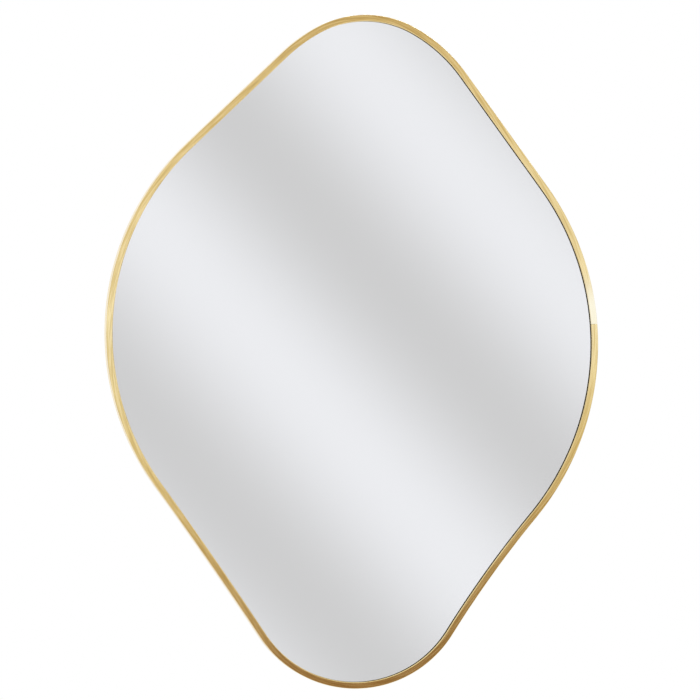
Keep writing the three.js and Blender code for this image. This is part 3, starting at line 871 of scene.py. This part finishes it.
def cross(graph, size):
    """Two crossed bars, centred on the top of the head."""
    long, wide, deep = size["Recess length"], size["Recess width"], size["Recess depth"] * 2.0
    bars = [
        graph.add("GeometryNodeMeshCube", None, (graph.combine(x, deep, z),))
        for x, z in ((long, wide), (wide, long))
    ]
    one = graph.add("GeometryNodeMeshBoolean", {"operation": "UNION", "solver": "EXACT"})
    for bar in bars:
        graph.tree.links.new(bar.socket, one.socket.node.inputs["Mesh 2"])
    return graph.moved(one, graph.combine(0.0, size["Head height"], 0.0))


screw_nodes = nodes_named("clip_screw", "strap_screw")
screw_places = [
    (rear_of(name, SCREW_SIZES["Head height"]), (0, i * SCREW_TURN, 0))
    for i, name in enumerate(screw_nodes)
]
screw_tree = lathe_tree("screws", SCREW_SIZES, screw_section, cross)
set_out("panel_screws", screw_tree, screw_places, ZINC, "zinc_plate", screw_nodes)

# %% Grub screws of the splice, with a hexagon socket
GRUB_SIZES = {
    "Radius": 2.0 * MM, "Length": 3.0 * MM, "Soft edge": 0.3 * MM, "Socket": 1.15 * MM,
    "Socket depth": 1.5 * MM,
}
GRUB_INSET = 1.6 * MM
GRUB_DISTANCES = [25 * MM, 10 * MM, -10 * MM, -25 * MM]  # along the rail, from the joint


def grub_section(size):
    end, soft = size["Length"], size["Soft edge"]
    return [(0.0, 0.0), (size["Radius"], 0.0, soft), (size["Radius"], end, soft), (0.0, end)]


def hexagon(graph, size):
    prism = graph.add(
        "GeometryNodeMeshCylinder", None,
        {"Vertices": 6, "Radius": size["Socket"], "Depth": size["Socket depth"] * 2.0})
    return graph.moved(prism, graph.combine(0.0, size["Length"], 0.0), UPRIGHT)


grub_nodes = nodes_named("splice_screw")
grub_places = []
for distance, name in zip(GRUB_DISTANCES, grub_nodes):
    x, z, radius, _ = BULBS[0]
    outward = ray(seam_angle + distance / radius)
    spot = Vector((x, z)) + outward * (radius - GRUB_INSET)
    depth = sum(corner.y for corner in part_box(name)) / 2
    inwards = Vector((-outward.x, 0, -outward.y))
    turn = Vector((0, 1, 0)).rotation_difference(inwards).to_euler()
    grub_places.append(((spot.x, depth, spot.y), turn))
grub_tree = lathe_tree("grub screws", GRUB_SIZES, grub_section, hexagon)
set_out("grub_screws", grub_tree, grub_places, ZINC, "zinc_plate", grub_nodes)

# %% Rubber bumpers
BUMPER_SIZES = {
    "Radius": 8.0 * MM, "Height": 13.9 * MM, "Tip": 6.0 * MM, "Rounding": 1.0 * MM,
    "Foot": 1.2 * MM, "Soft edge": 0.35 * MM,
}


def bumper_section(size):
    base, tall = size["Radius"], size["Height"]
    return [
        (0.0, -tall), (base, -tall, size["Soft edge"]),
        (base - 0.1 * MM, size["Foot"] - tall, size["Soft edge"]),
        (size["Tip"] + 0.9 * MM, size["Foot"] - tall, size["Soft edge"]),
        (size["Tip"], 0.0, size["Rounding"]), (0.0, 0.0),
    ]


bumper_nodes = nodes_named("bumper")
bumper_places = [(rear_of(name), (0, 0, 0)) for name in bumper_nodes]
bumper_tree = lathe_tree("bumpers", BUMPER_SIZES, bumper_section)
set_out("wall_bumpers", bumper_tree, bumper_places, RUBBER, "black_rubber", bumper_nodes)

# %% [markdown]
# ## Stamped parts: clips and hanger straps
#
# Clips and straps are punched from sheet steel, so they are flat shapes with holes and
# slightly broken edges. A 2D curve does all of that: it fills between its loops, leaves
# the inner ones open, and has a depth and a bevel of its own. The strap is folded, so
# its side view is the flat shape, and what a second shape leaves of it, as seen from the
# front, gives the round end and the screw holes.

# %% Plates from loops
BEVEL = 0.15 * MM


def arc(centre, radius, start, sweep, steps=12):
    """Points along an arc. Angles are in degrees, anticlockwise."""
    angles = (math.radians(start + sweep * k / steps) for k in range(steps + 1))
    return [Vector(centre) + ray(angle) * radius for angle in angles]


def drawn(data, loops, place):
    """Draws closed loops of points in a curve, and gives its surface, placed, as a bmesh."""
    for loop in loops:
        spline = data.splines.new("POLY")
        spline.points.add(len(loop) - 1)
        spline.use_cyclic_u = True
        for point, position in zip(spline.points, loop):
            point.co = (*position, 1)
    curve = linked(data.name, data)
    depsgraph = bpy.context.evaluated_depsgraph_get()
    mesh = bpy.data.meshes.new_from_object(curve.evaluated_get(depsgraph), depsgraph=depsgraph)
    bpy.data.objects.remove(curve)
    mesh.transform(place)
    tools = bmesh.new()
    tools.from_mesh(mesh)
    bmesh.ops.remove_doubles(tools, verts=tools.verts, dist=SAME_POINT)
    return tools


def stamped(name, loops, depth, finish):
    """A plate through y = 0: loops of (x, z) points, with holes, and a depth along Y."""
    data = bpy.data.curves.new(name, "CURVE")
    data.dimensions, data.fill_mode = "2D", "BOTH"
    data.extrude, data.bevel_depth, data.offset = depth / 2 - BEVEL, BEVEL, -BEVEL
    data.bevel_resolution = 1
    flat = [[(x, z, 0) for x, z in loop] for loop in loops]
    return new_piece(name, drawn(data, flat, Matrix.Rotation(math.pi / 2, 4, "X")), finish)


copies, given = new_tree("copies", ["Original", "Spots"], {})
part = copies.add("GeometryNodeObjectInfo", None, (given["Original"],)).out("Geometry")
COPIES = close_tree(copies, set_on_spots(copies, part, given["Spots"]), given["Material"])
print("stamping ready")

# %% Panel clips
CLIP_NOSE = 2.1 * MM  # inset of the clip's nose, which goes under the rail's rib
CLIP_SCREW_INSET = 13 * MM
CLIP_HALF_WIDTH = 7 * MM
CLIP_CORNER = 1.5 * MM
SCREW_HOLE = 1.9 * MM


def hole(centre):
    return arc(centre, SCREW_HOLE, 0, 345, 23)


def clip_loops():
    """A tab with a round end about its screw. X is the inset from the rail's outer face."""
    nose = CLIP_NOSE + CLIP_CORNER
    side = CLIP_HALF_WIDTH - CLIP_CORNER
    middle = (CLIP_SCREW_INSET, 0)
    outer = arc(middle, CLIP_HALF_WIDTH, -90, 180, 24)
    outer += arc((nose, side), CLIP_CORNER, 90, 90) + arc((nose, -side), CLIP_CORNER, 180, 90)
    return [outer, hole(middle)]


def nearest_outside(place):
    """The point of the outline that is nearest to a place, in the XZ plane."""
    ring, near = outline_points(0.0), []
    for a, b in zip(ring, ring[1:] + ring[:1]):
        share = intersect_point_line(place, a, b)[1]
        near.append(a.lerp(b, min(max(share, 0), 1)))
    return min(near, key=lambda point: (point - place).length)


clip_nodes = nodes_named("panel_clip")
clip_places = []
for name in clip_nodes:
    x, _, z = rear_of(name.replace("panel_clip", "clip_screw"))
    screw = Vector((x, z))
    outward = (nearest_outside(screw) - screw).normalized()
    start = screw + outward * CLIP_SCREW_INSET
    low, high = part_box(name)
    clip_places.append((
        (start.x, (low.y + high.y) / 2, start.y), (0, math.atan2(outward.y, -outward.x), 0)))
clip_thickness = high.y - low.y
clip = stamped("clip_original", clip_loops(), clip_thickness, ZINC)
helpers.append(clip)
set_out("panel_clips", COPIES, clip_places, ZINC, "zinc_plate", clip_nodes, Original=clip)

# %% Hanger straps
STRAP_THICKNESS = 1.2 * MM
STRAP_WIDTH = 12 * MM
STRAP_SPARE = 1.2  # the folded strip is this much wider, until it is cut
STRAP_LAP = 4 * MM
STRAP_FOLD = 35  # degrees, the slope of the folded end
STRAP_LENGTH = 42 * MM  # from the hinge axis down to the strap's end
STRAP_HOLES = [20 * MM, 34 * MM]  # from the hinge axis down to the screws
WIRE_RADIUS = 1.2 * MM
EYE = WIRE_RADIUS + 0.3 * MM
hinge = {j["child"]: Vector(j["pos_m"]) for j in frame["joints"]}
panel_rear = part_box("back_panel")[1].y
hinge_depth = hinge["left_ring"].y - panel_rear


def slope_drop(radius, depth):
    """How far below the hinge the slope, at this radius round the wire, reaches a depth."""
    slope = math.radians(STRAP_FOLD)
    return radius * math.sin(slope) + (
        hinge_depth + radius * math.cos(slope) - depth) / math.tan(slope)


def strap_side():
    """The folded strap from its side: X from the panel, Z from the hinge axis."""
    one, two = STRAP_THICKNESS, 2 * STRAP_THICKNESS
    lap_top = slope_drop(EYE + STRAP_THICKNESS, two)
    lap_end = -lap_top - STRAP_LAP
    outer = [(0, -STRAP_LENGTH), (one, -STRAP_LENGTH)]
    outer += [(one, lap_end), (two, lap_end), (two, -lap_top)]
    middle = (hinge_depth, 0)
    outer += arc(middle, EYE + STRAP_THICKNESS, -STRAP_FOLD, 180 + STRAP_FOLD, 24)
    eye = arc(middle, EYE, -STRAP_FOLD, 180 + STRAP_FOLD, 20) + [(one, -slope_drop(EYE, one))]
    return [outer, eye]


def strap_face():
    """The strap from the front, with its round end and two screw holes."""
    half, top = STRAP_WIDTH / 2, 2 * hinge_depth
    outer = [(half, top), (-half, top)] + arc((0, half - STRAP_LENGTH), half, 180, 180, 24)
    return [outer] + [hole((0, -drop)) for drop in STRAP_HOLES]


strap = stamped("strap_original", strap_side(), STRAP_WIDTH * STRAP_SPARE, ZINC)
strap.data.transform(Matrix.Rotation(math.pi / 2, 4, "Z"))
face = stamped("strap_face", strap_face(), 4 * hinge_depth, ZINC)
shear = strap.modifiers.new("Shear", "BOOLEAN")
shear.operation, shear.solver, shear.object = "INTERSECT", "EXACT", face
settle(strap)
helpers += [strap, face]
strap_places = [((middle.x, panel_rear, middle.z), (0, 0, 0)) for middle in hinge.values()]
strap_nodes = nodes_named("hanger_strap")
set_out("hanger_straps", COPIES, strap_places, ZINC, "zinc_plate", strap_nodes, Original=strap)

# %% [markdown]
# ## The D-rings
#
# Each ring is one length of round wire, bent to a D and butt welded inside the strap's
# eye. A curve with a bevel is exactly that. The rings lean a little towards the panel,
# as they fall when the mirror lies on its face. Each one is a piece of its own, because
# it swings on its own hinge.

# %% Rings
RING_HALF = 8.2 * MM  # half the width of the D, to the middle of its wire
RING_ARM = 5 * MM
RING_CORNER = 2.4 * MM
RING_LEAN = math.radians(5.2)


def d_ring(name, middle):
    """Wire with its straight side in the eye. It leans about the hinge at the middle."""
    corner = RING_HALF - RING_CORNER
    route = arc((corner, RING_CORNER), RING_CORNER, -90, 90, 8)
    route += arc((0, RING_ARM), RING_HALF, 0, 180, 32)
    route += arc((-corner, RING_CORNER), RING_CORNER, 180, 90, 8)
    data = bpy.data.curves.new(name, "CURVE")
    data.dimensions, data.bevel_depth, data.bevel_resolution = "3D", WIRE_RADIUS, 5
    place = Matrix.Translation(middle) @ Matrix.Rotation(RING_LEAN, 4, "X")
    loop = [(x, 0, z) for x, z in route]
    return eased(new_piece(name, drawn(data, [loop], place), NICKEL))


for side in ("left", "right"):
    wire = d_ring(f"d_ring_{side}", hinge[f"{side}_ring"])
    stands_for(wire, [f"hanger_ring_{side}"], f"{side}_ring")

# %% [markdown]
# ## Stage, light and camera
#
# The mirror hangs with its middle 1.5 m above a pale floor, and the world is white to the
# camera. A mirror shows nothing but its surroundings, so they are built like a
# photographer's light tent: a cloth wall, bent round the front, that only reflections
# see. Where the glass reflects it, the cloth carries soft diagonal bands. The rail's face
# leans outwards, so the rail reflects a ring of cloth round that patch, which is
# brightest at half height, dimmer above, and dark and warm below.

# %% Floor
FLOOR_Z = -1.5
floor_tools = bmesh.new()
bmesh.ops.create_circle(floor_tools, cap_ends=True, segments=96, radius=6.0)
bmesh.ops.translate(floor_tools, verts=floor_tools.verts, vec=(0, 0, FLOOR_Z))
pale = material("pale_floor", lambda graph: {"Base Color": (0.8, 0.8, 0.8), "Roughness": 0.8})
floor = new_piece("floor", floor_tools, pale)

# %% Camera
EYE_SLANT = math.radians(-6.6)  # the camera stands this far to the left
EYE_RISE = math.radians(0.6)
EYE_DISTANCE = 8.0
SENSOR = 36.0  # mm
FRAME_WIDTH = 0.7813  # what the picture spans at the mirror
AIM = Vector((-0.0036, -0.0265, 0.0021))  # near the middle of the glass


def aim(thing, target=Vector()):
    thing.rotation_euler = (target - thing.location).to_track_quat("-Z", "Y").to_euler()


eye = EYE_DISTANCE * Vector((
    math.sin(EYE_SLANT) * math.cos(EYE_RISE),
    -math.cos(EYE_SLANT) * math.cos(EYE_RISE), math.sin(EYE_RISE)))
camera_data = bpy.data.cameras.new("camera")
camera_data.sensor_width = SENSOR
camera_data.lens = SENSOR * EYE_DISTANCE / FRAME_WIDTH
camera = linked("camera", camera_data)
camera.location = eye
aim(camera, AIM)
bpy.context.scene.camera = camera
bpy.context.scene.view_settings.view_transform = "Standard"
print(f"lens: {camera_data.lens:.1f} mm")

# %% Light tent
TENT = 1.2  # from the wall to the cloth
TENT_CORNER = 0.7
TENT_HALF_WIDTH = 1.6
TENT_DEPTH = 0.6  # how far the sides reach behind the wall
TENT_TOP = 1.6
reach = TENT / -eye.y  # how much wider the glass shows the cloth than it is itself
CLOTH_STOPS = [  # height on the cloth, and its light
    (-1.1, (0.33, 0.27, 0.18)), (-0.75, (0.20, 0.10, 0.02)), (-0.52, (0.15, 0.07, 0.01)),
    (-0.43, (0.27, 0.155, 0.04)), (-0.37, (0.43, 0.355, 0.20)), (-0.28, (0.58, 0.54, 0.42)),
    (-0.13, (0.65, 0.66, 0.62)), (0.02, (0.73, 0.80, 0.98)), (0.28, (0.68, 0.70, 0.72)),
    (0.42, (0.61, 0.58, 0.50)), (0.52, (0.50, 0.44, 0.33)), (0.65, (0.40, 0.33, 0.21)),
    (0.9, (0.44, 0.39, 0.30)),
]
CLOTH_STRENGTH = 1.5
CLOTH_LEAN = 0.1  # how much the light's levels rise towards the right
BAND_DARK, BAND_PALE = (0.495, 0.491, 0.493), (0.672, 0.673, 0.69)
BAND_SLOPE = (15.6, 14.35)  # radians for each metre across and up
BAND_START = 1.54
HALF_SIZE = (0.275, 0.375)  # of the mirror, across and up
RING_IN, RING_OUT = (1.0, 1.3), (2.6, 3.6)  # where the ring fades, in half sizes


def cloth(graph):
    x, _, z = graph.split(object_place(graph))
    # the spot on the glass that shows this spot of the cloth in the photographer's view
    across = (x + eye.x * reach) / (1 + reach)
    height = (z + eye.z * reach) / (1 + reach)
    phase = across * BAND_SLOPE[0] + height * BAND_SLOPE[1] + BAND_START
    bands = phase.math("COSINE") * 0.5 + 0.5
    squares = [
        (way / half).math("POWER", 2.0) for way, half in zip((across, height), HALF_SIZE)]
    round_out = (squares[0] + squares[1]).math("SQRT")
    low, high = CLOTH_STOPS[0][0], CLOTH_STOPS[-1][0]
    level = (z - (x + eye.x * reach) * CLOTH_LEAN - low) / (high - low)
    stops = [((at - low) / (high - low), color) for at, color in CLOTH_STOPS]
    ring = graph.add("ShaderNodeValToRGB", {"stops": stops}, (level,))
    patch = graph.mix(bands, BAND_DARK, BAND_PALE)
    ring_only = graph.smooth(round_out, *RING_IN) * (1 - graph.smooth(round_out, *RING_OUT))
    light = graph.mix(ring_only, patch, ring)
    return {
        "Base Color": (0.0, 0.0, 0.0), "Specular IOR Level": 0.0,
        "Emission Color": light, "Emission Strength": CLOTH_STRENGTH}


def tent():
    side = TENT_HALF_WIDTH - TENT_CORNER
    route = [Vector((TENT_HALF_WIDTH, TENT_DEPTH))]
    route += arc((side, TENT_CORNER - TENT), TENT_CORNER, 0, -90, 24)
    route += arc((-side, TENT_CORNER - TENT), TENT_CORNER, -90, -90, 24)
    route += [Vector((-TENT_HALF_WIDTH, TENT_DEPTH))]
    tools = bmesh.new()
    rows = [[tools.verts.new((p.x, p.y, z)) for p in route] for z in (FLOOR_Z, TENT_TOP)]
    for i in range(len(route) - 1):
        tools.faces.new((rows[0][i], rows[0][i + 1], rows[1][i + 1], rows[1][i]))
    glowing = material("tent_cloth", cloth)
    glowing.cycles.emission_sampling = "NONE"
    wall = new_piece("light_tent", tools, glowing)
    wall.visible_camera = wall.visible_diffuse = wall.visible_shadow = False


tent()


# %% World
ROOM, ROOM_FLOOR, ROOM_BEHIND = (0.88, 0.88, 0.87), (0.55, 0.48, 0.38), (1.03, 1.03, 1.0)
GREY, WHITE = (0.6, 0.6, 0.6), (1.0, 1.0, 1.0)


def room_world():
    """White to the camera, grey light on everything, and a pale room in reflections."""
    world = bpy.data.worlds.new("room")
    world.use_nodes = True
    world.cycles.sampling_method = "NONE"
    bpy.context.scene.world = world
    graph = Graph(world.node_tree)
    world.node_tree.nodes.clear()
    _, behind, up = graph.split(graph.add("ShaderNodeTexCoord"))
    room = graph.mix(graph.smooth(up, -0.4, 0.0), ROOM_FLOOR, ROOM)
    room = graph.mix(graph.smooth(behind, 0.8, 0.97), room, ROOM_BEHIND)
    ray_kind = graph.add("ShaderNodeLightPath")
    seen = ray_kind.out("Is Glossy Ray").math("MAXIMUM", ray_kind.out("Is Transmission Ray"))
    color = graph.mix(seen, GREY, room)
    color = graph.mix(ray_kind.out("Is Camera Ray"), color, WHITE)
    background = graph.add("ShaderNodeBackground", None, (color, 1.0))
    graph.add("ShaderNodeOutputWorld", None, (background,))


room_world()
print("world ready")


# %% Lamps
def softbox(name, place, size, power, glossy=False):
    data = bpy.data.lights.new(name, "AREA")
    data.shape, data.size, data.energy = "SQUARE", size, power
    lamp = linked(name, data)
    lamp.location = place
    aim(lamp)
    lamp.visible_glossy = glossy


softbox("lamp_left", (-2.6, -2.6, 1.8), 1.6, 60)
softbox("lamp_right", (2.8, -2.2, 1.2), 1.6, 60)
softbox("lamp_behind", (1.0, 3.0, 1.6), 1.8, 70, glossy=True)
print("lamps ready")

# %% Close
for helper in helpers:
    bpy.data.objects.remove(helper)
